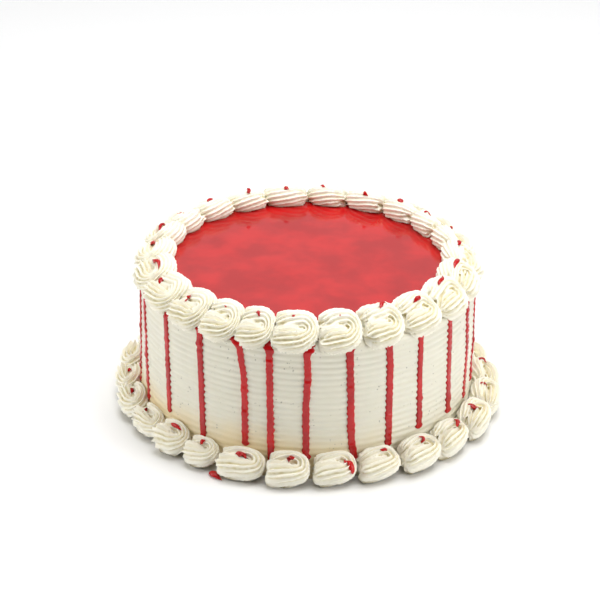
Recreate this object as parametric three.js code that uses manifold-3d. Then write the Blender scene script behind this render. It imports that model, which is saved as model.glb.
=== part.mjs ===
// A round cake coated in ivory cream, about 264 mm across its foot and 112 mm high. A sheet of red gel lies
// on top, runs of the same gel go down the side, and piped swirls of cream lean outwards over the sloping
// top edge and lean on the wall round the foot. Each swirl has a small drop of gel.
// Millimetres, +Z up, origin at the centre of the underside. Bearings are degrees from +X towards +Y.

import * as THREE from "three";
import { mergeVertices } from "three/addons/utils/BufferGeometryUtils.js";
import Module from "manifold-3d";

const wasm = await Module();
wasm.setup();

// Driving dimensions

const gap = 0.3; // left between pieces that touch
const restGap = 0.45; // under the flat faces of a swirl that rests on the gel
const wallGap = 0.6; // between the round wall and the flat faces that press on it
const slopeGap = 2.1; // straight down to the sloping shoulder from a swirl that hangs over it

const wallRadius = 112;
const wallTop = 91.6; // a rounded corner and a slope lead from here up to the gel
const cornerInset = 1.9;
const bedRadius = 98.2; // shallow bed inside the slope, where the gel lies
const bedHeight = 99;
const lipHeight = 99.9; // top of the slope
const gelHeight = 100.5; // the gel's surface, a little above the lip
const shoulderSlope = Math.tan((27 * Math.PI) / 180);

const gelReach = bedRadius - 0.7; // mean radius of the gel sheet
const gelWave = 0.12; // slow unevenness of its surface
const gelColumns = 48;

const runCount = 26; // runs of gel down the wall
const seenRuns = [187, 199.5, 216.5, 233, 248.8, 258.3, 270, 284.8, 298, 310.6, 325.8, 339.6, 350.5];
const run = {
  width: 5,
  widthSpread: 0.12, // how much wider or narrower a run may be, as a share
  proud: 1.1,
  shoulder: 0.62, // share of the width that stands fully proud
  mouth: [0.8, 1.7], // how much wider than the rest a run is at its top, least and most
  sway: 0.25, // degrees that a run wanders to either side on its way down
  swayLength: 17, // height over which it wanders, for each radian
  endRamp: 0.8,
  endLow: 22, // a run stops just above the foot ring: lower between two swirls,
  endHigh: 26.5, // higher over the middle of one
};
const runHeights = [56, 84]; // where a run bends, between its end and its top

// Both rings lean outwards. A leaning swirl's middle is off what it rests on, and cream fills in under it.
// Each ring starts at the bearing of an edge between two swirls, and widths are the degrees that its
// swirls take up, one after the other.
const topRing = {
  name: "top_swirl",
  firstEdge: 216.9,
  direction: -1,
  widths: [
    17.1, 16.5, 15.1, 13.8, 14.8, 16.2, 15.8, 17.3, 16.1, 17, 16.3, 15.3, 15, 16.4, 16.7, 16.7, 16.3, 15.6,
    15.3, 15.8, 12.6, 13.4, 14.9,
  ],
  centreRadius: 96.5,
  centreHeight: 96.2,
  footRadius: 99.8, // where the middle of its underside lies
  tilt: 29,
  radius: 16.6,
  height: 14.2,
  rest: (radius) => Math.min(gelHeight + restGap, lipHeight + slopeGap - shoulderSlope * (radius - bedRadius)),
  leansOnWall: false,
};
const baseRing = {
  name: "base_swirl",
  firstEdge: 174.5,
  direction: 1,
  widths: [
    14, 14.1, 14.8, 12.1, 12.7, 15.8, 14, 14.3, 14.1, 14, 14.6, 14.6, 14.6, 14.6, 15.1, 14.2, 14.9, 14.5, 15.3,
    13.9, 14.8, 14.6, 15, 14.3, 15.1,
  ],
  centreRadius: 113.2,
  centreHeight: 4.6,
  footRadius: 113.2,
  tilt: 25,
  radius: 16.4,
  height: 19,
  rest: () => 0,
  leansOnWall: true,
};

const ridgeCount = 7; // ridges left by the star nozzle
const ridgeDepth = 1.5;
const ridgeTwist = 45; // degrees that a ridge turns from one row to the next above the foot
const coilStep = 0.08; // share by which the coil draws in over one turn
const pressHardness = 14; // how flat swirls are where they press on each other or on the wall
const pressDepth = 5; // how far in front of the wall a leaning swirl starts to flatten

// Rows of a swirl from foot to tip: share of its radius, share of its height, and the way that the
// surface faces there, in degrees above level.
const swirlRows = [
  [0.84, 0.0, 0],
  [1.0, 0.24, 0],
  [0.97, 0.52, 20],
  [0.76, 0.75, 60],
  [0.44, 0.81, 85],
  [0.18, 0.89, 45],
];

// How much swirls differ: shares of radius and height, degrees of their start, and millimetres of the
// tip's lean and of their place.
const swirlSpread = { radius: 0.035, height: 0.05, start: 22, tip: 1.3, place: 0.6 };
const swirlStart = -70; // bearing of a coil's start, from straight outwards
const swirlEye = [1.5, 3.6]; // outwards and to the right, where a coil closes

const dropSize = [3.2, 2.2, 1.8]; // half length, half width, half height of a gel drop
const dropPlace = [-3.4, -1, 0.86]; // outwards and to the right of the eye, and share of the swirl's height
const fallenDrop = { swirl: 5, size: [5, 2.8, 2.2], radius: 124.8, side: -12.0, turn: 65 };

const cream = new THREE.MeshStandardMaterial({ color: 0xf1ecd9, roughness: 0.55, metalness: 0 });
const gel = new THREE.MeshStandardMaterial({ color: 0xc41c22, roughness: 0.12, metalness: 0 });

// Helpers

// Repeatable random numbers between -1 and 1.
function makeRandom(seed) {
  let state = seed;
  return () => {
    state = (state * 1664525 + 1013904223) % 4294967296;
    return (state / 4294967296) * 2 - 1;
  };
}

const random = makeRandom(7);
const toRadians = THREE.MathUtils.degToRad;
const toDegrees = THREE.MathUtils.radToDeg;

// A closed surface from rings of points, listed from the bottom up and each counter-clockwise seen from
// above, with a pole at either end.
function ringSurface(rings, bottom, top) {
  const columns = rings[0].length;
  const points = [bottom, ...rings.flat(), top];
  const at = (row, column) => 1 + row * columns + (column % columns);
  const faces = [];
  for (let column = 0; column < columns; column++) {
    faces.push(0, at(0, column + 1), at(0, column));
    for (let row = 0; row < rings.length - 1; row++) {
      const [a, b] = [at(row, column), at(row, column + 1)];
      const [c, d] = [at(row + 1, column + 1), at(row + 1, column)];
      faces.push(a, b, c, a, c, d);
    }
    faces.push(points.length - 1, at(rings.length - 1, column), at(rings.length - 1, column + 1));
  }
  const geometry = new THREE.BufferGeometry().setFromPoints(points);
  geometry.setIndex(faces);
  return geometry;
}

function polarPoint(radius, bearing, height) {
  const angle = toRadians(bearing);
  return new THREE.Vector3(radius * Math.cos(angle), radius * Math.sin(angle), height);
}

function toSolid(geometry) {
  const bare = geometry.clone();
  bare.deleteAttribute("normal");
  bare.deleteAttribute("uv");
  const merged = mergeVertices(bare, 1e-4);
  const mesh = new wasm.Mesh({
    numProp: 3,
    vertProperties: merged.attributes.position.array,
    triVerts: new Uint32Array(merged.index.array),
  });
  return new wasm.Manifold(mesh);
}

function toGeometry(solid) {
  const { vertProperties, triVerts } = solid.getMesh();
  const geometry = new THREE.BufferGeometry();
  geometry.setAttribute("position", new THREE.BufferAttribute(new Float32Array(vertProperties), 3));
  geometry.setIndex(new THREE.BufferAttribute(new Uint32Array(triVerts), 1));
  return geometry;
}

function namedMesh(name, geometry, material) {
  geometry.computeVertexNormals();
  const mesh = new THREE.Mesh(geometry, material);
  mesh.name = name;
  return mesh;
}

// The bearing of the middle of each swirl in a ring, and its width in degrees.
function swirlPlaces({ firstEdge, direction, widths }) {
  let edge = firstEdge;
  return widths.map((width) => {
    edge += direction * width;
    return { middle: edge - (direction * width) / 2, width };
  });
}

// The cake and its runs of gel

// The bearing in the middle of each run. The runs that the front shows have measured places, and the
// rest are shared out over the back.
function runBearings() {
  const last = seenRuns[seenRuns.length - 1] - 360;
  const hidden = runCount - seenRuns.length;
  const space = (seenRuns[0] - last) / (hidden + 1);
  const back = Array.from({ length: hidden }, (_, i) => last + (i + 1) * space + 2 * random());
  return [...back, ...seenRuns];
}

function runEnd(bearing) {
  const nearness = swirlPlaces(baseRing).map(({ middle, width }) => {
    const away = Math.abs(THREE.MathUtils.euclideanModulo(bearing - middle + 180, 360) - 180);
    return Math.max(0, 1 - (2 * away) / width);
  });
  return THREE.MathUtils.lerp(run.endLow, run.endHigh, Math.max(...nearness));
}

// Columns of the wall: the two feet and the two shoulders of each run, and one bare column before the
// next run. A column gives its bearing at a height and how far it stands proud of the wall.
function wallColumns() {
  const bearings = runBearings();
  const columns = [];
  bearings.forEach((middle, i) => {
    const next = i + 1 < bearings.length ? bearings[i + 1] : bearings[0] + 360;
    const halfWidth = toDegrees(((run.width / 2) * (1 + run.widthSpread * random())) / wallRadius);
    const mouth = THREE.MathUtils.mapLinear(random(), -1, 1, ...run.mouth);
    const phase = Math.PI * random();
    const end = runEnd(middle);
    const addColumn = (share, proud) => {
      const bearingAt = (height) => {
        const width = height > runHeights[1] ? mouth : 1;
        return middle + run.sway * Math.sin(height / run.swayLength + phase) + share * halfWidth * width;
      };
      columns.push({ bearingAt, proud, end });
    };
    addColumn(-1, 0);
    addColumn(-run.shoulder, run.proud);
    addColumn(run.shoulder, run.proud);
    addColumn(1, 0);
    columns.push({ bearingAt: () => (middle + next) / 2, proud: 0, end: (end + runEnd(next)) / 2 });
  });
  return columns;
}

// One solid: flat underside, wall with the runs in relief, slope, and the shallow bed for the gel.
function cakeGeometry() {
  const rows = [
    () => [wallRadius, 0],
    ({ end }) => [wallRadius, end - run.endRamp],
    ({ end, proud }) => [wallRadius + proud, end + run.endRamp],
    ...runHeights.map((height) => ({ proud }) => [wallRadius + proud, height]),
    ({ proud }) => [wallRadius + 0.6 * proud, wallTop],
    () => [wallRadius - cornerInset, lipHeight - shoulderSlope * (wallRadius - cornerInset - bedRadius)],
    () => [bedRadius, lipHeight],
    () => [bedRadius, bedHeight],
  ];
  const columns = wallColumns();
  const rings = rows.map((row) =>
    columns.map((column) => {
      const [radius, height] = row(column);
      return polarPoint(radius, column.bearingAt(height), height);
    }),
  );
  return ringSurface(rings, new THREE.Vector3(0, 0, 0), new THREE.Vector3(0, 0, bedHeight));
}

// The sheet of red gel in its bed, with a slightly uneven edge and slow waves on its surface.
function gelGeometry() {
  const surface = (radius, turn) => {
    const [x, y] = [radius * Math.cos(turn), radius * Math.sin(turn)];
    return gelHeight + gelWave * (Math.sin(x / 19 + 1) * Math.cos(y / 23) - 1);
  };
  const rows = [
    (edge) => [edge, bedHeight + gap],
    (edge) => [edge, gelHeight - 3 * gelWave],
    (edge, turn) => [edge - 1.2, surface(edge, turn)],
    (edge, turn) => [0.64 * gelReach, surface(0.64 * gelReach, turn)],
    (edge, turn) => [0.32 * gelReach, surface(0.32 * gelReach, turn)],
  ];
  const rings = rows.map((row) =>
    Array.from({ length: gelColumns }, (_, i) => {
      const turn = (i / gelColumns) * 2 * Math.PI;
      const edge = gelReach + 0.2 * Math.sin(5 * turn) + 0.15 * Math.sin(11 * turn);
      const [radius, height] = row(edge, turn);
      return polarPoint(radius, toDegrees(turn), height);
    }),
  );
  const underside = new THREE.Vector3(0, 0, bedHeight + gap);
  return ringSurface(rings, underside, new THREE.Vector3(0, 0, surface(0, 0)));
}

// Piped swirls

// A distance pressed into the room there is: short ones hardly change, and long ones stop at the room.
function pressed(distance, room) {
  return distance / (1 + (distance / room) ** pressHardness) ** (1 / pressHardness);
}

// Presses a point of a swirl, in the frame where the swirl's own bearing is +X, between the planes
// that part it from its neighbours and onto what it rests on and, at the foot of the cake, against the wall.
function pressIntoRoom(ring, width, point) {
  const halfAngle = toRadians(width / 2);
  const sideRoom = point.x * Math.tan(halfAngle) - gap / (2 * Math.cos(halfAngle));
  point.y = pressed(point.y, sideRoom);
  const back = Math.sqrt((wallRadius + wallGap) ** 2 - point.y ** 2) + pressDepth;
  if (ring.leansOnWall && point.x < back) point.x = back - pressed(back - point.x, pressDepth);
  point.z = Math.max(point.z, ring.rest(Math.hypot(point.x, point.y)));
  return point;
}

// A swirl of cream: a dome whose ridges start level at the foot, wind counter-clockwise inwards and close
// in a small tip. The coil draws in over each turn, which leaves a step where it starts. The dome leans
// by the ring's tilt, and its lowest row is brought straight down to what it rests on.
function swirlGeometry(ring, width, { radius, height, start, tip, placing }) {
  const columns = 2 * ridgeCount;
  const rings = swirlRows.map(([reach, rise, facing], row) =>
    Array.from({ length: columns }, (_, column) => {
      const turn = column / columns;
      const bearing = start + 360 * turn + ridgeTwist * Math.max(0, row - 1);
      const depth = column % 2 ? ridgeDepth * Math.min(1, 2.2 * reach) : 0;
      const out = reach * radius * (1 - coilStep * turn) - depth * Math.cos(toRadians(facing));
      const up = rise * height - depth * Math.sin(toRadians(facing));
      const point = polarPoint(out, bearing, up).addScaledVector(tip, rise * rise);
      return pressIntoRoom(ring, width, point.applyMatrix4(placing));
    }),
  );
  rings[0].forEach((point) => point.setZ(ring.rest(Math.hypot(point.x, point.y))));
  const bottom = new THREE.Vector3(ring.footRadius, 0, ring.rest(ring.footRadius));
  const top = new THREE.Vector3(tip.x, tip.y, height).applyMatrix4(placing);
  return ringSurface(rings, bottom, top);
}

// A small blob of gel.
function dropGeometry(size, place, turn) {
  const matrix = new THREE.Matrix4().makeRotationZ(turn);
  matrix.scale(new THREE.Vector3(...size)).setPosition(place);
  return new THREE.OctahedronGeometry(1, 0).applyMatrix4(matrix);
}

// One swirl with its drop of gel fused on. No two are alike.
function swirlSolid(ring, index, width) {
  const tip = new THREE.Vector3(random(), random(), 0).multiplyScalar(swirlSpread.tip);
  tip.add(new THREE.Vector3(...swirlEye, 0));
  const height = ring.height * (1 + swirlSpread.height * random());
  const radius = ring.radius * (1 + swirlSpread.radius * random());
  const start = swirlStart + swirlSpread.start * random();
  const shift = new THREE.Vector2(random(), random()).multiplyScalar(swirlSpread.place);
  const placing = new THREE.Matrix4().makeRotationY(toRadians(ring.tilt));
  placing.setPosition(ring.centreRadius + shift.x, shift.y, ring.centreHeight);
  placing.premultiply(new THREE.Matrix4().makeScale(1, (width * ring.widths.length) / 360, 1));
  const swirl = toSolid(swirlGeometry(ring, width, { radius, height, start, tip, placing }));

  const [out, side, rise] = dropPlace;
  const place = new THREE.Vector3(tip.x + out + random(), tip.y + side + 2 * random(), rise * height);
  const sizes = dropSize.map((half) => half * (1 + 0.2 * random()));
  const drop = dropGeometry(sizes, place, Math.PI * random());
  const solid = swirl.add(toSolid(drop.applyMatrix4(placing)));
  if (ring !== baseRing || index !== fallenDrop.swirl) return solid;

  const fallenPlace = new THREE.Vector3(fallenDrop.radius, fallenDrop.side, fallenDrop.size[2]);
  return solid.add(toSolid(dropGeometry(fallenDrop.size, fallenPlace, toRadians(fallenDrop.turn))));
}

function swirlRing(ring) {
  const group = new THREE.Group();
  swirlPlaces(ring).forEach(({ middle, width }, index) => {
    const name = `${ring.name}_${String(index + 1).padStart(2, "0")}`;
    const mesh = namedMesh(name, toGeometry(swirlSolid(ring, index, width)), cream);
    mesh.rotation.z = toRadians(middle);
    group.add(mesh);
  });
  return group;
}

const cakeGroup = new THREE.Group();
cakeGroup.add(namedMesh("cake", cakeGeometry(), cream));
cakeGroup.add(namedMesh("gel_sheet", gelGeometry(), gel));
cakeGroup.add(swirlRing(topRing));
cakeGroup.add(swirlRing(baseRing));

export default cakeGroup;
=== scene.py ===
import math
import bpy
import numpy as np
from mathutils import Matrix, Vector
from mathutils.bvhtree import BVHTree


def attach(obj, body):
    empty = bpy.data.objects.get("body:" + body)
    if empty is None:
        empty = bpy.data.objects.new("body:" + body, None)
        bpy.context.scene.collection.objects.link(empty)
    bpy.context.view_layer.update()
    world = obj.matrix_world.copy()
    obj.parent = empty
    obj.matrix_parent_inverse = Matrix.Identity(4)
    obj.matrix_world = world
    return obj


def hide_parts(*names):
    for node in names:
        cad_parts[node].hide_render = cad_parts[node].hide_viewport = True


# An ivory cream cake with a sheet of red gel on top, gel runs down its combed wall, and piped swirls round
# the top edge and the foot. Sizes are in millimetres until a mesh is made, and bearings are degrees from
# +X towards +Y.

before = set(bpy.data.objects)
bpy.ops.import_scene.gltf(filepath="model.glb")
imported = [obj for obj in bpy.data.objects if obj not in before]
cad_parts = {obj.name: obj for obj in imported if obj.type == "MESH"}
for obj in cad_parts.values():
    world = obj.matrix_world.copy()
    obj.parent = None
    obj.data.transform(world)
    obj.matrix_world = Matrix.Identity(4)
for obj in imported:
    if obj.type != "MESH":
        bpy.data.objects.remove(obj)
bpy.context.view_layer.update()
mm = 0.001


# Camera

camera = {
    "place": (-4.835, -1533.0, 840.9),
    "pitch": 26.62,  # degrees below level
    "roll": 0.7124,
    "lens": 153.77,
    "sensor": 36,
    "clip": (0.05, 50),  # nearest and furthest that it sees, in metres
    "pictureSide": 600,  # pixels of the photograph, for the places given in them
}


def cameraAxes():
    pitch, roll = math.radians(camera["pitch"]), math.radians(camera["roll"])
    forward = Vector((0, math.cos(pitch), -math.sin(pitch)))
    level = Vector((1, 0, 0))
    upward = Vector((0, math.sin(pitch), math.cos(pitch)))
    right = math.cos(roll) * level + math.sin(roll) * upward
    above = math.cos(roll) * upward - math.sin(roll) * level
    return right, above, forward


def addCamera():
    right, above, forward = cameraAxes()
    lens = bpy.data.cameras.new("camera")
    lens.lens = camera["lens"]
    lens.sensor_width = camera["sensor"]
    lens.clip_start, lens.clip_end = camera["clip"]
    holder = bpy.data.objects.new("camera", lens)
    turn = Matrix((right, above, -forward)).transposed().to_4x4()
    holder.matrix_world = Matrix.Translation(Vector(camera["place"]) * mm) @ turn
    bpy.context.scene.collection.objects.link(holder)
    bpy.context.scene.camera = holder


def pixelRay(pixel):
    # From the camera through a pixel of the photograph: forward + right * across - above * down.
    right, above, forward = cameraAxes()
    side = camera["pictureSide"]
    step = camera["sensor"] / camera["lens"] / side
    across, down = (pixel[0] - side / 2) * step, (pixel[1] - side / 2) * step
    return Vector(camera["place"]), (forward + across * right - down * above).normalized()


addCamera()
bpy.context.scene.view_settings.view_transform = "Standard"


# Helpers


def polar(radius, bearing, height):
    turn = np.radians(bearing)
    return np.stack(np.broadcast_arrays(radius * np.cos(turn), radius * np.sin(turn), height), -1)


def waves(points, seed, size, octaves=2):
    # Soft unevenness, about -1 to 1: for each octave, gain times the mean of some sines across random
    # directions. The first waves are that size, and each further octave is half as long and half as high.
    sines, gain = 7, 1.6
    draw = np.random.default_rng(seed)
    total = np.zeros(points.shape[:-1])
    for octave in range(octaves):
        across = draw.normal(size=(points.shape[-1], sines))
        across /= np.linalg.norm(across, axis=0)
        phase = points @ across * (2 * np.pi * 2**octave / size) + draw.uniform(0, 2 * np.pi, sines)
        total += np.sin(phase).mean(-1) * gain / 2**octave
    return total


def pressed(distance, room, hardness=14):
    # Short distances hardly change and long ones stop at the room: d / (1 + (d / room) ^ h) ^ (1 / h).
    return distance / (1 + np.abs(distance / room) ** hardness) ** (1 / hardness)


def smoothStep(value):
    # 0 up to 0, 1 from 1 on, and v ^ 2 * (3 - 2 v) between them.
    value = np.clip(value, 0, 1)
    return value * value * (3 - 2 * value)


def tube(rings):
    # A closed skin over rings of points, each counter-clockwise about the way they follow each other.
    rows, columns = rings.shape[:2]
    points = np.concatenate([rings.reshape(-1, 3), rings[0].mean(0)[None], rings[-1].mean(0)[None]])
    column = np.arange(columns)
    after = (column + 1) % columns
    row = np.arange(rows - 1)[:, None] * columns
    quads = np.stack([row + column, row + after, row + columns + after, row + columns + column], -1)
    last = (rows - 1) * columns
    foot = np.stack([after, column, np.full(columns, rows * columns)], -1)
    head = np.stack([last + column, last + after, np.full(columns, rows * columns + 1)], -1)
    return points, [*quads.reshape(-1, 4).tolist(), *foot.tolist(), *head.tolist()]


def joined(parts):
    # Several (points, faces) as one.
    points, faces, count = [], [], 0
    for partPoints, partFaces in parts:
        points.append(partPoints)
        faces += [[corner + count for corner in face] for face in partFaces]
        count += len(partPoints)
    return np.concatenate(points), faces


def bareMesh(name, points, faces):
    mesh = bpy.data.meshes.new(name)
    mesh.from_pydata((points * mm).tolist(), [], faces)
    return mesh


def addPiece(name, mesh, material, replaced=()):
    mesh.materials.clear()
    mesh.materials.append(material)
    mesh.polygons.foreach_set("use_smooth", np.ones(len(mesh.polygons), bool))
    mesh.update()
    piece = bpy.data.objects.new(name, mesh)
    bpy.context.scene.collection.objects.link(piece)
    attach(piece, "root")
    if replaced:
        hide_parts(*replaced)
    return piece


def meshPoints(mesh):
    flat = np.empty(len(mesh.vertices) * 3)
    mesh.vertices.foreach_get("co", flat)
    return flat.reshape(-1, 3) / mm


def setPoints(mesh, points):
    mesh.vertices.foreach_set("co", (points * mm).ravel())
    mesh.update()


def neighbourMean(mesh, values):
    # For each vertex, the mean of the values at the vertices that share an edge with it.
    ends = np.empty(len(mesh.edges) * 2, np.int32)
    mesh.edges.foreach_get("vertices", ends)
    first, second = ends.reshape(-1, 2).T
    here, there = np.concatenate([first, second]), np.concatenate([second, first])
    count = len(mesh.vertices)
    many = np.bincount(here, minlength=count)
    sums = [np.bincount(here, part[there], count) for part in values.reshape(count, -1).T]
    return (np.stack(sums, -1) / many[:, None]).reshape(values.shape)


def merged(points, faces, voxel):
    # One skin round everything that overlaps, as a mesh of even small faces.
    rough = bpy.data.objects.new("rough", bareMesh("rough", points, faces))
    bpy.context.scene.collection.objects.link(rough)
    remesh = rough.modifiers.new("merge", "REMESH")
    remesh.mode = "VOXEL"
    remesh.voxel_size = voxel * mm
    smooth = rough.evaluated_get(bpy.context.evaluated_depsgraph_get())
    mesh = bpy.data.meshes.new_from_object(smooth)
    bpy.data.objects.remove(rough)
    return mesh


# Materials


class Value:
    # An output socket, or a number, that can be used in sums: each operator adds a Math node.
    def __init__(self, finish, socket):
        self.finish, self.socket = finish, socket

    def sum(self, operation, first, second):
        return self.finish.node("ShaderNodeMath", {"operation": operation}, {0: first, 1: second})

    def __add__(self, other):
        return self.sum("ADD", self, other)

    __radd__ = __add__

    def __sub__(self, other):
        return self.sum("SUBTRACT", self, other)

    def __rsub__(self, other):
        return self.sum("SUBTRACT", other, self)

    def __mul__(self, other):
        return self.sum("MULTIPLY", self, other)

    def above(self, low, high):
        # 0 below low, 1 above high, and a smooth step between them.
        return self.finish.node(
            "ShaderNodeMapRange",
            {"interpolation_type": "SMOOTHSTEP"},
            {"Value": self, "From Min": low, "From Max": high},
        )


class Finish:
    # A material whose one shader is a Principled BSDF.
    def __init__(self, name, fixed):
        self.material = bpy.data.materials.new(name)
        self.material.use_nodes = True
        self.nodes = self.material.node_tree.nodes
        self.shader = self.nodes["Principled BSDF"]
        for socket, value in fixed.items():
            self.shader.inputs[socket].default_value = value
        self.place = self.node("ShaderNodeTexCoord", output="Object")

    def feed(self, socket, value):
        if isinstance(value, Value):
            self.material.node_tree.links.new(value.socket, socket)
        else:
            socket.default_value = value

    def node(self, kind, settings={}, inputs={}, output=0):
        node = self.nodes.new(kind)
        for name, value in settings.items():
            setattr(node, name, value)
        for name, value in inputs.items():
            self.feed(node.inputs[name], value)
        return Value(self, node.outputs[output])

    def noise(self, size, detail=2.0):
        # Cloudy noise whose patches are about that many millimetres across, centred on 0.5.
        inputs = {"Vector": self.place, "Scale": 1 / (size * mm), "Detail": detail}
        return self.node("ShaderNodeTexNoise", {}, inputs, "Fac")

    def mix(self, share, first, second):
        node = self.nodes.new("ShaderNodeMix")
        node.data_type = "RGBA"
        self.feed(node.inputs[0], share)
        self.feed(node.inputs[6], first)
        self.feed(node.inputs[7], second)
        return Value(self, node.outputs[2])

    def bump(self, height, depth):
        # depth is what a height of 1 stands for, in millimetres.
        inputs = {"Height": height, "Distance": depth * mm, "Strength": 1.0}
        return self.node("ShaderNodeBump", {}, inputs, "Normal")

    def set(self, socket, value):
        self.feed(self.shader.inputs[socket], value)


creamLook = {
    "light": (0.985, 0.955, 0.84, 1),
    "roughness": 0.46,
    "valleyShadeAndTone": (0.62, 0.52, 0.19, 1),  # painted shade in the valleys between ridges, and some random tone in soft patches
    "valleyShadeShare": 0.9,
    "cloudShare": 0.1,  # how much of it lies in soft patches as well
    "cloudSize": 14,
    "tuckedShade": (0.40, 0.31, 0.12, 1),  # painted shade where a swirl is hidden beside or under another piece
    "tuckedShadeShare": 0.85,
    # painted shade inside the air pores of the wall
    "poreShade": (0.36, 0.33, 0.26, 1),
    "grain": 0.05,  # height of the fine grain
    "grainSize": 0.9,
    "roughnessStray": 0.08,  # to either side
    "roughnessSize": 3,
}

wallLook = {
    # The piped cream's colour, darkened: painted shade for the upright wall.
    "light": (0.80, 0.775, 0.655, 1),
    "roughness": 0.32,
    "foot": (0.86, 0.72, 0.45, 1),  # painted shade low on the wall, darker and yellower, by the foot swirls
    "footHeights": (16, 40),  # where it starts to fade, and where it ends
    "footStray": 10,  # how far its upper edge strays up and down
    "footCloud": 30,
    "footSide": 70,  # how far towards the lit +X side it has faded
    "footFade": 0.9,  # share of it that is lost there
    "poreSpacing": 2.6,
    "poreEdge": (0.12, 0.26),  # from a pore's full depth to its rim, as shares of the spacing
    "poreClusters": (0.55, 0.63),  # noise from which a pore shows: lower numbers give more of them
    "clusterSize": 9,
    "poreShadeShare": 0.75,
    "poreDepth": 4,  # times the grain
}

gelLook = {
    "deep": (0.41, 0.005, 0.007, 1),
    "bright": (0.56, 0.009, 0.010, 1),
    "cloudSize": 22,
    "cloudLimits": (0.3, 0.7),
    "roughness": 0.07,
    "roughnessStray": 0.06,
    "roughnessSize": 6,
    "ripple": 0.05,
    "rippleSize": 11,
}

softCream = {
    "Subsurface Weight": 0.06,
    "Subsurface Scale": 0.004,
    "Subsurface Radius": (1.0, 0.75, 0.45),
    "IOR": 1.45,
}


def paintedFootShade(finish):
    # How much of the painted shade shows: 1 low on the wall, less towards the lit +X side and 0 above.
    level = finish.node("ShaderNodeSeparateXYZ", {}, {"Vector": finish.place}, "Z")
    side = finish.node("ShaderNodeSeparateXYZ", {}, {"Vector": finish.place}, "X")
    foot, over = [end * mm for end in wallLook["footHeights"]]
    stray = wallLook["footStray"] * mm
    low = 1 - (level + finish.noise(wallLook["footCloud"]) * 2 * stray - stray).above(foot, over)
    return low * (1 - side.above(0, wallLook["footSide"] * mm) * wallLook["footFade"])


def airPores(finish):
    # 1 inside a pore and 0 outside. Pores lie in clusters.
    cells = {"Vector": finish.place, "Scale": 1 / (wallLook["poreSpacing"] * mm)}
    away = finish.node("ShaderNodeTexVoronoi", {}, cells, "Distance")
    cluster = finish.noise(wallLook["clusterSize"], 3.0).above(*wallLook["poreClusters"])
    return (1 - away.above(*wallLook["poreEdge"])) * cluster


def creamFinish(name, look, combed=False):
    finish = Finish(name, softCream)
    cloud = finish.noise(creamLook["cloudSize"])
    hollowShade = finish.node("ShaderNodeAttribute", {"attribute_name": "hollowShade"}, {}, "Fac")
    tuckedShade = finish.node("ShaderNodeAttribute", {"attribute_name": "tuckedShade"}, {}, "Fac")
    # Painted shade: the cream is darker and yellower in its valleys between ridges.
    valleyShadeAndTone = hollowShade * creamLook["valleyShadeShare"] + cloud * creamLook["cloudShare"]
    colour = finish.mix(valleyShadeAndTone, look["light"], creamLook["valleyShadeAndTone"])
    # Painted shade where the swirl is hidden beside or under another piece.
    colour = finish.mix(tuckedShade * creamLook["tuckedShadeShare"], colour, creamLook["tuckedShade"])
    height = finish.noise(creamLook["grainSize"], 4.0)
    if combed:
        # Painted shade low on the wall, by the foot swirls, fading towards the lit +X side.
        colour = finish.mix(paintedFootShade(finish), colour, wallLook["foot"])
        pore = airPores(finish)
        # Painted shade inside the pores, which the bump below also dents.
        colour = finish.mix(pore * wallLook["poreShadeShare"], colour, creamLook["poreShade"])
        height = height - pore * wallLook["poreDepth"]
    stray = creamLook["roughnessStray"]
    finish.set("Base Color", colour)
    finish.set("Roughness", look["roughness"] + finish.noise(creamLook["roughnessSize"]) * 2 * stray - stray)
    finish.set("Normal", finish.bump(height, creamLook["grain"]))
    return finish.material


def gelFinish():
    finish = Finish("gel", {"IOR": 1.45, "Specular IOR Level": 0.5})
    cloud = finish.noise(gelLook["cloudSize"], 3.0).above(*gelLook["cloudLimits"])
    stray = finish.noise(gelLook["roughnessSize"]) * gelLook["roughnessStray"]
    finish.set("Base Color", finish.mix(cloud, gelLook["deep"], gelLook["bright"]))
    finish.set("Roughness", gelLook["roughness"] + stray)
    finish.set("Normal", finish.bump(finish.noise(gelLook["rippleSize"]), gelLook["ripple"]))
    return finish.material


cream = creamFinish("piped cream", creamLook)
wallCream = creamFinish("combed cream", wallLook, combed=True)
gel = gelFinish()
print("materials made")


# The cake's body

body = {
    "wallRadius": 112,
    "wallTop": 91.6,
    "shoulderRound": 3.4,
    "shoulderSlope": 27,  # degrees above level, from the wall up to the gel
    "bedRadius": 98.2,
    "gelHeight": 100.4,
    "bedHeight": 99,
    "groovePitch": 4.25,  # left by the comb
    "grooveDepth": 0.85,
    "depthSpread": 0.25,  # share by which that differs along a groove
    "depthSize": 38,
    "sharpness": 1.4,  # how narrow the grooves are
    "grooveEnd": 1,  # they fade from this far below the wall's top to as far above
    "grooveWander": 0.8,  # how far a groove strays up and down
    "unevenness": 0.35,
    "unevenSize": 70,
    "levelEnds": 6,  # height at both ends over which rows go from level to wandering with the grooves
    "slopeLength": 16,  # of what the top swirls rest on, past the wall's top
    "slopeSteps": 40,
    "wallEdge": 0.1,  # what they rest on ends within this far outside the wall
    "slopeRows": [0.6, 1.6, 2.6, 3.8, 6, 9, 12, 15, 17],  # past the wall's top
    "hiddenRing": 60,  # radius of the last row under the gel, and of the first of the underside
    "undersideRing": 108,
    "columns": 560,
    "rowsPerGroove": 6,
}


def grooveShift(bearing):
    # How far up the grooves lie there: two slow waves round the wall.
    turn = np.radians(bearing)
    return body["grooveWander"] * (0.6 * np.sin(3 * turn + 1) + 0.3 * np.sin(7 * turn + 2.4))


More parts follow.
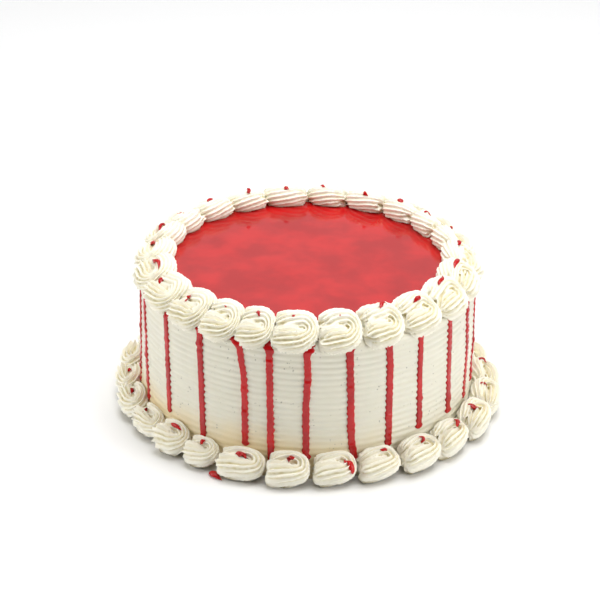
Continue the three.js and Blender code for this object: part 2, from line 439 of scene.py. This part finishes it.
def wallSurface(bearing, height, relief=1):
    # Radius of the combed wall: its round, slow unevenness, and narrow grooves of uneven depth,
    # ((1 + cos) / 2) ^ sharpness. relief is the share of them that shows.
    around = polar(body["wallRadius"], bearing, height)
    phase = 2 * np.pi * (height - grooveShift(bearing)) / body["groovePitch"]
    spread, end = body["depthSpread"], body["grooveEnd"]
    depth = body["grooveDepth"] * (1 - spread + spread * waves(around, 3, body["depthSize"]))
    bottom = (0.5 + 0.5 * np.cos(phase)) ** body["sharpness"]
    fade = np.clip((body["wallTop"] + end - height) / (2 * end), 0, 1)
    uneven = body["unevenness"] * waves(around, 5, body["unevenSize"])
    return body["wallRadius"] + uneven - relief * fade * depth * bottom


def shoulder(distance):
    # How far in and up the skin has gone, that distance past the wall's top, and how far it leans back
    # there in radians: an arc of radius shoulderRound, then a straight slope.
    full = math.radians(90 - body["shoulderSlope"])
    turned = np.clip(distance / body["shoulderRound"], 0, full)
    along = np.maximum(distance - body["shoulderRound"] * full, 0)
    inset = body["shoulderRound"] * (1 - np.cos(turned)) + along * math.sin(full)
    rise = body["shoulderRound"] * np.sin(turned) + along * math.cos(full)
    return inset, rise, turned


def makeBody():
    # Rows of points from the middle of the underside out, up the wall and the slope, and in to the bed.
    bearing = np.linspace(0, 360, body["columns"], endpoint=False)[None, :]
    step = body["groovePitch"] / body["rowsPerGroove"]
    top = body["wallTop"]
    level = np.arange(0, top, step)[:, None]
    fade = np.clip(np.minimum(level, top - level) / body["levelEnds"], 0, 1)
    height = level + grooveShift(bearing) * fade
    wall = polar(wallSurface(bearing, height), bearing, np.clip(height, 0, top))
    inset, rise, _ = shoulder(np.array(body["slopeRows"])[:, None])
    slope = polar(wallSurface(bearing, top + 0 * rise) - inset, bearing, top + rise)
    bed = np.array([[body["bedRadius"]], [body["hiddenRing"]]])
    under = np.array([[body["hiddenRing"]], [body["undersideRing"]]])
    inside = polar(bed, bearing, np.full((2, 1), body["bedHeight"]))
    underside = polar(under, bearing, np.zeros((2, 1)))
    points, faces = tube(np.concatenate([underside, wall, slope, inside]))
    addPiece("cake_body", bareMesh("cake_body", points, faces), wallCream, ["cake"])


makeBody()
print("body made")


# The sheet of gel

sheet = {
    "reach": 97.6,
    "top": 100.5,
    "bottom": 99.3,
    "corner": 0.5,  # how far below the top its side ends
    "wave": 0.10,
    "waveSize": 52,
    "dip": 0.9,  # how far the waves are lowered, as a share of their height
    "ringShares": (0.006, 0.985),  # how far in from the edge the first and the last ring lie
    "rings": 90,
    "columns": 360,
}


def makeSheet():
    # Rings from the edge in, at the radius reach + 0.2 sin(5 turn) + 0.15 sin(11 turn), on slow waves.
    bearing = np.linspace(0, 360, sheet["columns"], endpoint=False)[None, :]
    turn = np.radians(bearing)
    reach = sheet["reach"] + 0.2 * np.sin(5 * turn) + 0.15 * np.sin(11 * turn)
    side = polar(reach, bearing, np.array([[sheet["bottom"]], [sheet["top"] - sheet["corner"]]]))
    share = (1 - np.linspace(*sheet["ringShares"], sheet["rings"]))[:, None]
    flat = polar(reach * share, bearing, 0 * share)
    flat[..., 2] = sheet["top"] + sheet["wave"] * (waves(flat, 11, sheet["waveSize"], 3) - sheet["dip"])
    points, faces = tube(np.concatenate([side, flat]))
    addPiece("gel_top", bareMesh("gel_top", points, faces), gel, ["gel_sheet"])


makeSheet()
print("gel sheet made")


# Runs of gel down the wall

runs = {
    "width": 4.9,
    "widthSpread": 0.06,
    "proud": 1.0,
    "proudSpread": 0.2,  # share by which that differs along a run
    "proudSize": 16,
    "sunk": 0.9,  # below the wall, so that no gap shows
    "relief": 0.35,  # share of the wall's grooves that shows through a run
    "beading": 0.14,  # how far the edge swells into each groove of the wall
    "ragged": 0.3,  # how far the edge strays
    "raggedSize": 5,
    "lumps": 3,  # thicker places along a run
    "lumpHeight": 0.45,
    "lumpLength": 1.5,
    "lumpPlaces": (20, 88),
    "mouthStart": 3,  # how far below the wall's top a run starts to widen, at most
    "mouthLength": 6,
    "mouthShare": 0.7,  # of the widths that a run has for its mouth
    "mouthRagged": 2.2,
    "mouthThinner": 0.5,  # share of its thickness that a run loses there
    "footLength": 5,
    "footThicker": 0.25,  # how much thicker a run is at its end
    "tipLength": 2.4,
    "leastTip": 0.02,  # share of the tip's length that counts at the very end, so that it has a width
    "step": 0.6,
    "shoulderStep": 0.8,
    "across": 12,
    "overShoulder": 16,  # how far a run reaches in from the wall's top
}

# Each run that the front shows: its bearing at some heights, and how much wider it is to its left and
# right at the top and at its end.
seenRuns = [
    {"route": [(188.5, 100), (189.5, 47), (186.1, 16)], "mouth": (1, 1), "foot": (1.2, 0.6)},
    {"route": [(197.5, 100), (197.9, 80), (201.1, 17)], "mouth": (1, 1), "foot": (0.2, 0.3)},
    {"route": [(215.6, 100), (215.9, 90), (217.2, 23)], "mouth": (1, 2), "foot": (0.5, 0.5)},
    {"route": [(231.8, 100), (232.2, 94), (233.6, 16)], "mouth": (4, 3), "foot": (0.6, 0.6)},
    {"route": [(246.4, 100), (247.5, 91), (249.3, 69), (249.7, 20)], "mouth": (6, 1), "foot": (0.3, 0.8)},
    {"route": [(257.6, 100), (257.7, 96), (258.4, 25), (258.9, 6)], "mouth": (1.5, 2), "foot": (0.2, 0.8)},
    {"route": [(269.6, 100), (270.4, 75), (269.9, 53), (270.1, 14)], "mouth": (4, 6), "foot": (0.4, 1.8)},
    {"route": [(283.7, 100), (283.9, 94), (285.1, 25), (286.6, 10)], "mouth": (1.5, 3), "foot": (0.3, 0.3)},
    {"route": [(297.3, 100), (297.4, 96), (298.2, 80), (298.3, 17)], "mouth": (1, 1.5), "foot": (0.4, 0.5)},
    {"route": [(310.6, 100), (310.6, 94), (310.3, 67), (310.8, 23)], "mouth": (0.5, 1), "foot": (2.0, 2.4)},
    {"route": [(325.3, 100), (325.4, 97), (325.6, 55), (326.2, 22)], "mouth": (0.5, 1), "foot": (0.8, 2.8)},
    {"route": [(335, 101), (338.9, 93), (340.4, 55), (339.3, 21)], "mouth": (1, 1), "foot": (0.9, 0.9)},
    {"route": [(352.8, 100), (352.6, 95), (350.8, 51), (348.3, 25)], "mouth": (1, 1), "foot": (0.5, 0.5)},
]
hiddenRuns = {
    "count": 13,
    "between": (-9.5, 187),  # bearings of the last and the first of the runs that show
    "spread": 2,
    "seed": 7,
    "sway": 0.8,
    "heights": (100, 70, 45, 20),
    "mouth": (0.6, 4),
    "foot": (0.2, 1.6),
}


def evenDraws(seed, count):
    # The same repeatable numbers between -1 and 1 that place the solid's hidden runs.
    factor, shift, limit = 1664525, 1013904223, 2**32
    drawn = []
    for _ in range(count):
        seed = (seed * factor + shift) % limit
        drawn.append(seed / limit * 2 - 1)
    return drawn


def allRuns():
    last, first = hiddenRuns["between"]
    space = (first - last) / (hiddenRuns["count"] + 1)
    top, bend, low, end = hiddenRuns["heights"]
    draw = np.random.default_rng(21)
    found = []
    for i, stray in enumerate(evenDraws(hiddenRuns["seed"], hiddenRuns["count"])):
        bearing = last + (i + 1) * space + hiddenRuns["spread"] * stray
        sway = bearing + draw.uniform(-hiddenRuns["sway"], hiddenRuns["sway"], 3)
        route = [(sway[0], top), (bearing, bend), (sway[1], low), (sway[2], end)]
        mouth = draw.uniform(*hiddenRuns["mouth"], 2)
        found.append({"route": route, "mouth": mouth, "foot": draw.uniform(*hiddenRuns["foot"], 2)})
    return found + seenRuns


def runRings(run, seed):
    # Rings round the run, from its end up the wall and over the shoulder. Across it u goes from -1 to 1,
    # and it stands proud by (1 - u ^ 4) ^ 0.5 of its thickness.
    draw = np.random.default_rng(seed)
    heights = np.array([height for _, height in run["route"]])[::-1]
    bearings = np.array([bearing for bearing, _ in run["route"]])[::-1]
    up = np.arange(heights[0], body["wallTop"], runs["step"])
    step = runs["shoulderStep"]
    past = np.concatenate([0 * up, np.arange(step / 2, runs["overShoulder"], step)])
    inset, rise, lean = shoulder(past)
    height = np.concatenate([up, np.full(len(past) - len(up), body["wallTop"])])
    along = height + past
    middle = np.interp(along, heights, bearings)

    fromEnd = along - heights[0]
    mouthStart = body["wallTop"] - draw.uniform(0, runs["mouthStart"])
    spread = smoothStep((along - mouthStart) / runs["mouthLength"])
    flare = smoothStep(1 - fromEnd / runs["footLength"])
    fromLump = along[:, None] - draw.uniform(*runs["lumpPlaces"], runs["lumps"])
    lumps = np.exp(-((fromLump / runs["lumpLength"]) ** 2)).sum(1)
    beads = np.cos(2 * np.pi * (height - grooveShift(middle)) / body["groovePitch"]) * (past <= 0)
    stray = polar(body["wallRadius"], middle, along)
    tip = np.sqrt(np.clip(fromEnd / runs["tipLength"], runs["leastTip"], 1))
    width = runs["width"] * (1 + runs["widthSpread"] * draw.normal())
    half = []
    for side in (0, 1):
        ragged = runs["ragged"] + runs["mouthRagged"] * spread
        ragged = ragged * waves(stray, seed * 2 + side, runs["raggedSize"], 3)
        extra = runs["mouthShare"] * run["mouth"][side] * spread + run["foot"][side] * flare + ragged
        swell = runs["beading"] * beads + runs["lumpHeight"] * draw.uniform(0, 1) * lumps
        half.append((width / 2 + extra + swell) * tip)

    # Each ring goes across the top and comes back with fewer points underneath.
    across = np.linspace(-1, 1, runs["across"])
    back = across[::-1][1:-1:3]
    place = np.concatenate([across, back])
    onTop = np.concatenate([np.ones(len(across)), np.zeros(len(back))])
    offset = np.where(place < 0, place * half[0][:, None], place * half[1][:, None])
    uneven = runs["proudSpread"]
    thick = runs["proud"] * (1 - uneven + uneven * waves(stray, seed + 70, runs["proudSize"]))
    thick = thick * (1 - runs["mouthThinner"] * spread) + runs["footThicker"] * flare
    thick += runs["lumpHeight"] * lumps
    out = np.where(onTop > 0, np.sqrt(1 - np.abs(place) ** 4) * (thick * tip)[:, None], 0)
    out -= runs["sunk"] * np.where(onTop > 0, np.abs(place) >= 1, 1)
    bearing = middle[:, None] + np.degrees(offset / body["wallRadius"])
    relief = np.where(onTop > 0, runs["relief"], 1)
    radius = wallSurface(bearing, height[:, None], relief) - inset[:, None] + out * np.cos(lean)[:, None]
    return polar(radius, bearing, (height + rise)[:, None] + out * np.sin(lean)[:, None])


def makeRuns():
    parts = [tube(runRings(run, 100 + i)) for i, run in enumerate(allRuns())]
    points, faces = joined(parts)
    addPiece("gel_runs", bareMesh("gel_runs", points, faces), gel)


makeRuns()
print("runs made")


# Piped swirls

rings = [
    {
        "name": "top_swirl",
        "firstEdge": 216.9,  # bearing between the first swirl and the last
        "direction": -1,
        "widths": [17.1, 16.5, 15.1, 13.8, 14.8, 16.2, 15.8, 17.3, 16.1, 17, 16.3, 15.3]
        + [15, 16.4, 16.7, 16.7, 16.3, 15.6, 15.3, 15.8, 12.6, 13.4, 14.9],  # degrees
        "centre": (97.0, 95.0),  # radius and height of the swirl's foot
        "tilt": 29,  # degrees that the swirl leans outwards
        "size": 1.0,
        "shares": (1, 1),  # how much narrower it is from the wall outwards, and from side to side
        "slide": 0,  # how far its eye is moved to the right
        "ridges": 15,  # round the rope, left by the star nozzle
        "squareness": 7,  # how abruptly a swirl ends where it meets its neighbours
        "reaches": [],
        "sizes": [],
    },
    {
        "name": "base_swirl",
        "firstEdge": 174.5,
        "direction": 1,
        "widths": [14, 14.1, 14.8, 12.1, 12.7, 15.8, 14, 14.3, 14.1, 14, 14.6, 14.6, 14.6, 14.6]
        + [15.1, 14.2, 14.9, 14.5, 15.3, 13.9, 14.8, 14.6, 15, 14.3, 15.1],
        "centre": (116.4, 2.9),
        "tilt": 15,
        "size": 1.14,
        "shares": (0.61, 0.92),
        "slide": -2,
        "ridges": 12,
        "squareness": 4.5,
        # What the photograph shows of the first swirls: how much further out than the others each sits,
        # and how big it is.
        "reaches": [-1, -1, -1.6, -2.2, -1.6, -0.5, 0, -1.4, -0.5, 1.4, 0, 1.5, 1.5, 1],
        "sizes": [1, 1, 0.92, 1.02, 0.88, 0.96, 1, 0.97, 0.97, 1.03, 1, 1.04, 1.04, 1],
    },
]
swirl = {
    # The middle of the rope from where it starts, low at the left, to its tail: outwards, to the right,
    # up, and the rope's radius.
    "path": [
        (6.2, -14.5, 7.4, 7.2),
        (7.0, -8.0, 7.8, 10.0),
        (7.8, -1.0, 7.8, 9.9),
        (8.2, 4.8, 7.8, 8.6),
        (5.0, 9.8, 8.2, 7.0),
        (-0.8, 10.2, 8.8, 7.0),
        (-5.0, 6.4, 8.8, 7.8),
        (-6.0, 0.0, 8.6, 8.0),
        (-5.8, -6.0, 8.2, 7.6),
        (-5.2, -12.2, 7.6, 6.8),
    ],
    "stray": 0.5,  # how far each point of the path differs from swirl to swirl
    "strayShares": (1, 1, 0.5, 0.4),  # outwards, to the right, up, and for the radius
    "swells": ((0.03, 9), (0.015, 31)),  # each a share of the radius, and how often it comes along the path
    "endLength": 0.04,  # share of the path over which the rope rounds off at both ends
    "endThickness": 0.5,
    "core": (-0.5, -1.0, 5.5),  # of cream, inside the turn
    "coreSize": (9.0, 12.0, 7.3),  # half its length each way
    "coreGrid": (12, 24),
    "fullness": 1.05,  # radius on the ridges, as a share of the rope's
    "ridgeDepth": 0.45,  # share of the rope's radius, more where the ridges part at its ends
    "valleyPower": 0.8,  # lower numbers make the valleys wider
    "partLength": 0.14,  # share of the path over which the ridges part at its ends
    "partDepth": 0.6,
    "ridgeFade": 0.5,  # how much shallower the ridges are in the end than at first
    "fadeFrom": 0.5,  # share of the path where they start to get shallower
    "fadeLength": 0.2,
    "ridgeTwist": 105,  # degrees that the ridges roll outwards and up along the path
    "ragged": 1.9,  # how unevenly the ridges end
    "lap": 3.0,  # how far the right side laps over its neighbour, and the left tucks under
    "lapHeights": (2, 11),
    "wallSpare": 3.0,  # how far in front of the wall a swirl starts to flatten against it
    "floorGap": 0.04,
    "sizeSpread": 0.03,
    "placeSpread": 0.5,
    "uneven": 0.03,
    "unevenSize": 26,
    "smoothing": 0.2,
    "besideFrom": 0.75,  # share of the way to its neighbour from which a swirl counts as hidden and gets painted shade
    "tuckedHeights": (3, 9),  # wholly hidden, with full painted shade, below the first, and not at all above the second
    "hollowBlur": 5,
    "hollowDepths": (0.04, 0.34),  # depths of a valley that count as 0 and as 1
    "voxel": 0.6,
    "stations": 200,
    "sections": 144,
}


def restHeight(ring, outwards):
    # Height of what a swirl stands on at each radius: the gel and the shoulder, or the floor.
    if ring["name"] != "top_swirl":
        return swirl["floorGap"]
    inset, rise, _ = shoulder(np.linspace(0, body["slopeLength"], body["slopeSteps"]))
    radius = np.append(body["wallRadius"] - inset[::-1], body["wallRadius"] + body["wallEdge"])
    rest = np.append(body["wallTop"] + rise[::-1], 0)
    return np.minimum(np.interp(outwards, radius, rest), body["gelHeight"])


def smoothLine(knots, count):
    # Catmull-Rom: between two knots runs a cubic whose slope at each is half the way between the knots
    # on either side of it. The line stops just short of the last knot.
    knots = np.array([2 * knots[0] - knots[1], *knots, 2 * knots[-1] - knots[-2]])
    t = np.linspace(0, len(knots) - 3.001, count)
    i = t.astype(int)
    f = (t - i)[:, None]
    a, b, c, d = knots[i], knots[i + 1], knots[i + 2], knots[i + 3]
    return b + f * (c - a) / 2 + f**2 * (a - 2.5 * b + 2 * c - d / 2) + f**3 * (1.5 * (b - c) + (d - a) / 2)


def ropeRings(draw, ridges):
    # The cream leaves the nozzle as a fat ridged rope and makes one close turn. Round the rope the radius
    # is thickness * (fullness - depth * |sin(ridges * angle / 2)| ^ valleyPower), which leaves narrow ridges.
    knots = np.array(swirl["path"])
    knots = knots + draw.uniform(-1, 1, knots.shape) * swirl["stray"] * swirl["strayShares"]
    line = smoothLine(knots, swirl["stations"])
    centre, thickness = line[:, :3], line[:, 3]
    s = np.linspace(0, 1, len(line))

    along = np.gradient(centre, axis=0)
    along /= np.linalg.norm(along, axis=1, keepdims=True)
    outwards = np.stack([along[:, 1], -along[:, 0], 0 * s], -1)
    outwards /= np.linalg.norm(outwards, axis=1, keepdims=True)
    upwards = np.cross(outwards, along)

    fromEnd = np.minimum(s, 1 - s) / swirl["endLength"]
    rounded = np.sqrt(np.clip(1 - (1 - np.minimum(fromEnd, 1)) ** 2, 0, 1))
    thickness = thickness * (swirl["endThickness"] + (1 - swirl["endThickness"]) * rounded)
    swell = 1
    for height, often in swirl["swells"]:
        swell = swell + height * np.sin(often * s + draw.uniform(0, 6))
    thickness *= swell

    section = np.linspace(0, 2 * np.pi, swirl["sections"], endpoint=False)
    roll = np.radians(swirl["ridgeTwist"]) * s + draw.uniform(0, 6)
    valley = np.abs(np.sin(ridges * (section[None, :] - roll[:, None]) / 2)) ** swirl["valleyPower"]
    part = swirl["partLength"]
    nearEnd = np.clip(1 - s / part, 0, 1) + np.clip(1 - (1 - s) / part, 0, 1)
    faded = swirl["ridgeFade"] * smoothStep((s - swirl["fadeFrom"]) / swirl["fadeLength"])
    depth = swirl["ridgeDepth"] * (1 + swirl["partDepth"] * nearEnd - faded)
    radius = thickness[:, None] * (swirl["fullness"] - depth[:, None] * valley)
    skin = np.cos(section)[:, None] * outwards[:, None] + np.sin(section)[:, None] * upwards[:, None]
    rope = centre[:, None] + radius[..., None] * skin
    # Each ridge starts and ends a little sooner or later than the next.
    uneven = np.sin(3 * section + draw.uniform(0, 6)) + np.sin(5 * section + draw.uniform(0, 6))
    rope += swirl["ragged"] * (nearEnd[:, None] * uneven)[..., None] * along[:, None]
    return rope[:, ::-1]


def coreSkin():
    # A closed ellipsoid: rows of latitude from 80 degrees below to 80 above.
    rows, columns = swirl["coreGrid"]
    rise = np.radians(np.linspace(-80, 80, rows))[:, None]
    turn = np.linspace(0, 360, columns, endpoint=False)[None, :]
    return tube(polar(np.cos(rise), turn, np.sin(rise)) * swirl["coreSize"] + swirl["core"])


def swirlMesh(ring, index, bearing, width):
    # Rope and core as one skin. It leans outwards by the ring's tilt, is pressed between its neighbours,
    # onto what it stands on and at the foot against the wall, and is then turned to its bearing.
    atFoot = ring["name"] == "base_swirl"
    draw = np.random.default_rng(1000 + index + (500 if atFoot else 0))
    points, faces = joined([tube(ropeRings(draw, ring["ridges"])), coreSkin()])
    mesh = merged(points, faces, swirl["voxel"])
    points = meshPoints(mesh)
    points += swirl["smoothing"] * (neighbourMean(mesh, points) - points)
    size = 1 + swirl["sizeSpread"] * draw.uniform(-1, 1)
    points *= ring["size"] * dict(enumerate(ring["sizes"])).get(index, size)
    points[:, :2] *= ring["shares"]
    points[:, :2] *= 1 + swirl["uneven"] * waves(points, 40 + index, swirl["unevenSize"])[:, None]

    tilt = math.radians(ring["tilt"])
    x, y, z = points.T
    radius, foot = ring["centre"]
    radius += dict(enumerate(ring["reaches"])).get(index, 0)
    stray = swirl["placeSpread"]
    outwards = radius + math.cos(tilt) * x + math.sin(tilt) * z + stray * draw.uniform(-1, 1)
    up = foot + math.cos(tilt) * z - math.sin(tilt) * x
    y = (y + ring["slide"] + stray * draw.uniform(-1, 1)) * width * len(ring["widths"]) / 360
    low, high = swirl["lapHeights"]
    above = 2 * smoothStep((z - low) / (high - low)) - 1
    room = outwards * math.tan(math.radians(width / 2)) + swirl["lap"] * (1 + above * np.sign(y)) / 2
    y = pressed(y, room, ring["squareness"])
    if atFoot:
        spare = swirl["wallSpare"]
        back = np.sqrt(body["wallRadius"] ** 2 - y**2) + spare
        outwards = np.where(outwards < back, back - pressed(back - outwards, spare), outwards)
    up = np.maximum(up, restHeight(ring, outwards))
    turn = math.radians(bearing)
    east = outwards * math.cos(turn) - y * math.sin(turn)
    north = outwards * math.sin(turn) + y * math.cos(turn)
    setPoints(mesh, np.stack([east, north, up], -1))

    # Painted shade where the swirl is pressed against its neighbours, and low down where it stands.
    share = swirl["besideFrom"]
    low, high = swirl["tuckedHeights"]
    beside = np.clip((np.abs(y) / room - share) / (1 - share), 0, 1)
    beside = beside * np.clip((high - z) / (high - low), 0, 1)
    markHollows(mesh, beside + np.clip(1 - z / low, 0, 1))
    return mesh


def markHollows(mesh, tuckedShade):
    # Two marks that say where painted shade goes: how far the skin lies below its neighbours, blurred a
    # little,
    # 0 on ridges and 1 in valleys; and 1 where the swirl is hidden away beside or under another piece.
    points = meshPoints(mesh)
    normals = np.empty(len(mesh.vertices) * 3)
    mesh.vertex_normals.foreach_get("vector", normals)
    wide = points
    for _ in range(swirl["hollowBlur"]):
        wide = neighbourMean(mesh, wide)
    below = ((wide - points) * normals.reshape(-1, 3)).sum(1)
    below = neighbourMean(mesh, neighbourMean(mesh, below))
    least, most = swirl["hollowDepths"]
    marks = {"hollowShade": (below - least) / (most - least), "tuckedShade": neighbourMean(mesh, tuckedShade)}
    for name, values in marks.items():
        mesh.attributes.new(name, "FLOAT", "POINT").data.foreach_set("value", np.clip(values, 0, 1))


def makeSwirls():
    meshes = {}
    for ring in rings:
        edge = ring["firstEdge"]
        for index, width in enumerate(ring["widths"]):
            name = f"{ring['name']}_{index + 1:02d}"
            bearing = edge + ring["direction"] * width / 2
            edge += ring["direction"] * width
            meshes[name] = swirlMesh(ring, index, bearing, width)
            addPiece(f"cream_{name}", meshes[name], cream, [name])
    return meshes


swirlMeshes = makeSwirls()
print("swirls made", sum(len(mesh.polygons) for mesh in swirlMeshes.values()) * 2, "triangles")


# Drops of gel on the swirls

# Where the photograph shows each drop, from its thin end to its thick one, in pixels, and its width there.
topDrops = [
    ([(163, 273), (160, 284)], 6.5),
    ([(158, 270), (158.5, 263), (153, 259)], 4.5),
    ([(156, 242), (149.5, 241)], 5),
    ([(158, 232), (161, 227), (165.5, 223)], 4.5),
    ([(182.5, 210.5), (176.5, 213.5)], 2.6),
    ([(213, 198.5), (208, 202)], 5),
    ([(249.5, 194), (250, 187), (246.5, 183.5)], 6.5),
    ([(289.5, 184), (284, 182)], 4.5),
    ([(326, 184), (320.5, 186)], 3.2),
    ([(368, 190), (364.5, 190), (362, 188)], 4.5),
    ([(400, 197), (400, 202)], 6.5),
    ([(431, 214), (427, 212), (424, 213)], 3),
    ([(454.5, 225.5), (450, 227)], 3.2),
    ([(460.5, 239.5), (457.5, 245)], 4.5),
    ([(454, 269), (455, 264), (458.5, 258)], 5),
    ([(443, 275.5), (439, 286)], 4),
    ([(413, 303), (420, 296)], 5),
    ([(386.5, 304.5), (383, 303), (380, 309)], 4.2),
    ([(339, 316), (341, 316)], 1.8),
    ([(295.5, 314.5), (292, 317)], 2.2),
    ([(260.5, 316), (257, 312)], 3.5),
    ([(224.5, 305), (227, 307)], 1.5),
    ([(185, 302), (191, 295)], 4.5),
]
baseDrops = [
    ([(127.5, 371), (131.5, 370)], 4.5),
    ([(129.5, 394), (133, 388)], 4.5),
    ([(143, 412), (148, 408)], 4),
    ([(183, 431), (178, 426), (171, 423)], 4.5),
    ([(200, 445), (205, 439.5)], 4.5),
    ([(235, 454), (239.5, 452.5), (246, 459.5)], 7.5),
    ([(295, 456.5), (288, 462.5)], 6.5),
    ([(344, 459), (348.5, 463.5), (353, 474.5)], 6.5),
    ([(379.5, 449), (387, 451)], 4),
    ([(418, 436), (423.5, 438), (421, 443.5)], 3.5),
    ([(453, 419), (458, 420.5), (457, 427.5)], 4.2),
    ([(479, 407), (473, 408), (468, 404.5)], 5.5),
    ([(487.5, 387.5), (484, 383.5), (480, 384)], 2.5),
    ([(487, 363.5), (483, 359.5), (479, 360)], 4.5),
]
fallenDrop = ([(222, 481), (209, 473)], 8)
drops = {
    "pixelSize": 0.68,  # of a pixel of the photograph, at the cake
    "distance": 1740,  # from the camera to about where the drops lie
    "flatness": 0.62,  # half height as a share of half width
    "ends": (0.02, 0.98),  # shares of its path at which a drop starts and stops
    "leastWidth": 0.06,  # least share of the width
    "lift": 0.35,  # how far the middle of a drop lies above the cream,
    "liftShare": 0.5,  # and the share of its half width that is added to that
    "smoothing": 3,  # passes that even out the line along the cream
    "hiddenLength": 5,
    "lengthShares": (0.6, 1.4),
    "hiddenStray": 2.5,
    "hiddenWidths": (1.6, 3.6),
    "floorSide": 400,  # of the flat square that the fallen drop lies on
    "stations": 14,
    "sections": 12,
}


def dropRings(path, width, tree):
    # A tear of gel along a path on the cream. At the share t of the path its half width is
    # width / 2 * sin(pi * t ^ 1.5) ^ 0.75, thin at the start, and its half height is flatness times that.
    t = np.linspace(*drops["ends"], drops["stations"])
    shares = np.linspace(0, 1, len(path))
    line = np.stack([np.interp(t, shares, path[:, axis]) for axis in range(3)], -1)
    feet, normals = [], []
    for point in line:
        foot, normal, _, _ = tree.find_nearest(point)
        feet.append(foot)
        normals.append(normal)
    feet, normals = np.array(feet), np.array(normals)
    for _ in range(drops["smoothing"]):
        feet[1:-1] = (feet[:-2] + feet[1:-1] * 2 + feet[2:]) / 4
        normals[1:-1] = normals[:-2] + normals[1:-1] * 2 + normals[2:]
    normals /= np.linalg.norm(normals, axis=1, keepdims=True)
    along = np.gradient(feet, axis=0)
    along /= np.linalg.norm(along, axis=1, keepdims=True) + 1e-9
    sideways = np.cross(along, normals)
    sideways /= np.linalg.norm(sideways, axis=1, keepdims=True)
    half = width / 2 * np.clip(np.sin(np.pi * t**1.5) ** 0.75, drops["leastWidth"], 1)
    turn = np.linspace(0, 2 * np.pi, drops["sections"], endpoint=False)
    feet = feet + normals * (drops["lift"] + drops["liftShare"] * half)[:, None]
    return (
        feet[:, None]
        + (half[:, None] * np.cos(turn))[..., None] * sideways[:, None]
        + (half[:, None] * np.sin(turn) * drops["flatness"])[..., None] * normals[:, None]
    )[:, ::-1]


def meshTree(mesh):
    faces = [list(polygon.vertices) for polygon in mesh.polygons]
    return BVHTree.FromPolygons(meshPoints(mesh).tolist(), faces)


def seenPath(pixels, tree):
    # The points of the cream that the camera sees at the pixels. Where a ray passes just over the cream,
    # the nearest point of it is taken.
    path = []
    for pixel in pixels:
        start, way = pixelRay(pixel)
        found = tree.ray_cast(start, way)[0]
        if found is None:
            near = tree.find_nearest(start + way * drops["distance"])[0]
            found = tree.find_nearest(start + way * (near - start).dot(way))[0]
        path.append(found)
    return np.array(path)


def hiddenPath(mesh, draw):
    # A short line near the swirl's highest point.
    points = meshPoints(mesh)
    top = points[points[:, 2].argmax()]
    turn = draw.uniform(0, 2 * np.pi)
    length = drops["hiddenLength"] * draw.uniform(*drops["lengthShares"])
    step = np.array([math.cos(turn), math.sin(turn), 0]) * length
    middle = top + draw.uniform(-drops["hiddenStray"], drops["hiddenStray"], 3) * (1, 1, 0)
    return np.array([middle - step / 2, middle + step / 2])


def makeDrops():
    draw = np.random.default_rng(31)
    parts = []
    for ring, seen in zip(rings, (topDrops, baseDrops)):
        for index in range(len(ring["widths"])):
            mesh = swirlMeshes[f"{ring['name']}_{index + 1:02d}"]
            tree = meshTree(mesh)
            if index < len(seen):
                pixels, width = seen[index]
                path, width = seenPath(pixels, tree), width * drops["pixelSize"]
            else:
                path, width = hiddenPath(mesh, draw), draw.uniform(*drops["hiddenWidths"])
            parts.append(tube(dropRings(path, width, tree)))
    pixels, width = fallenDrop
    edge = drops["floorSide"]
    corners = [(-edge, -edge, 0), (edge, -edge, 0), (edge, edge, 0), (-edge, edge, 0)]
    floorTree = BVHTree.FromPolygons(corners, [(0, 1, 2, 3)])
    parts.append(tube(dropRings(seenPath(pixels, floorTree), width * drops["pixelSize"], floorTree)))
    points, faces = joined(parts)
    addPiece("gel_drops", bareMesh("gel_drops", points, faces), gel)


makeDrops()
print("drops made")


# Floor and light

studio = {
    "world": 0.02,
    "floorColour": (0.93, 0.93, 0.93, 1),
    "floorRoughness": 0.6,
    "floorReach": 5,  # metres from the middle to each side
    "target": (0, 0, 0.05),  # what the softboxes face, in metres
    # Place and size in metres, and radiance.
    "softboxes": {
        "overhead": ((0.15, 0.1, 1.5), (1.3, 1.3), 4.95),
        "right": ((1.6, -0.84, 0.7), (1.2, 1.2), 4.2),
        "left": ((-1.7, -0.3, 0.7), (1.2, 1.2), 3.8),
        "back": ((0, 2.6, 1.2), (4, 2.2), 0.8),
    },
}


def addSoftbox(name, place, size, radiance):
    # An area light gives radiance = power / (pi * area).
    light = bpy.data.lights.new(name, "AREA")
    light.shape = "RECTANGLE"
    light.size, light.size_y = size
    light.energy = radiance * math.pi * size[0] * size[1]
    box = bpy.data.objects.new(name, light)
    way = Vector(studio["target"]) - Vector(place)
    box.matrix_world = Matrix.Translation(place) @ way.to_track_quat("-Z", "Y").to_matrix().to_4x4()
    box.visible_camera = False
    bpy.context.scene.collection.objects.link(box)


def makeStudio():
    world = bpy.data.worlds.new("studio")
    world.use_nodes = True
    background = world.node_tree.nodes["Background"]
    background.inputs["Color"].default_value = (1, 1, 1, 1)
    background.inputs["Strength"].default_value = studio["world"]
    bpy.context.scene.world = world

    floorMesh = bpy.data.meshes.new("floor")
    far = studio["floorReach"]
    corners = [(-far, -far, 0), (far, -far, 0), (far, far, 0), (-far, far, 0)]
    floorMesh.from_pydata(corners, [], [(0, 1, 2, 3)])
    finish = Finish("floor", {"Roughness": studio["floorRoughness"]})
    finish.set("Base Color", studio["floorColour"])
    floorMesh.materials.append(finish.material)
    floor = bpy.data.objects.new("floor", floorMesh)
    bpy.context.scene.collection.objects.link(floor)

    for name, (place, size, radiance) in studio["softboxes"].items():
        addSoftbox(name, place, size, radiance)


makeStudio()
print("scene ready")
